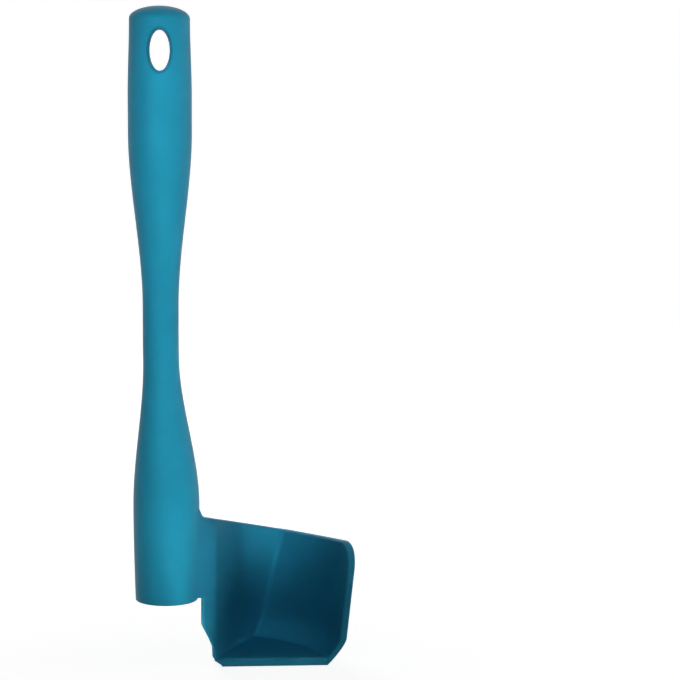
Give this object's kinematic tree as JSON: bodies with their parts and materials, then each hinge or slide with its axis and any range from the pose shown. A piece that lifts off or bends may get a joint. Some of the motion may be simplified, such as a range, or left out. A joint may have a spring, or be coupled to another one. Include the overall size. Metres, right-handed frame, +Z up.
{
  "type": "rotating bowl spatula",
  "caption": "Upright hand spatula with a waisted hollow handle, a hub socket at its foot and a curved corner scoop that turns about the socket to scrape and lift from a round bowl.",
  "frame": {"origin": "on the turning axis, at the mouth of the socket", "axes": "+Z up the handle along the turning axis, +X along the scraping edge of the scoop, +Y into the pocket of the scoop"},
  "size_m": [0.0968, 0.0629, 0.2835],
  "materials": {
    "petrol_plastic": "satin moulded plastic, fine even grain",
    "scoop_plastic": "satin moulded plastic, fine even grain",
    "eyelet_plastic": "satin moulded plastic",
    "cup_plastic": "smooth bearing plastic"
  },
  "bodies": {
    "hub": {"hub_cup": "cup_plastic"},
    "spatula": {"handle_front_shell": "petrol_plastic", "handle_back_shell": "petrol_plastic", "hang_eyelet": "eyelet_plastic", "scoop": "scoop_plastic"}
  },
  "joints": [
    {"name": "spatula_spin", "type": "hinge", "parent": "hub", "child": "spatula", "pos_m": [0, 0, 0], "axis": [0, 0, 1], "continuous": true}
  ]
}
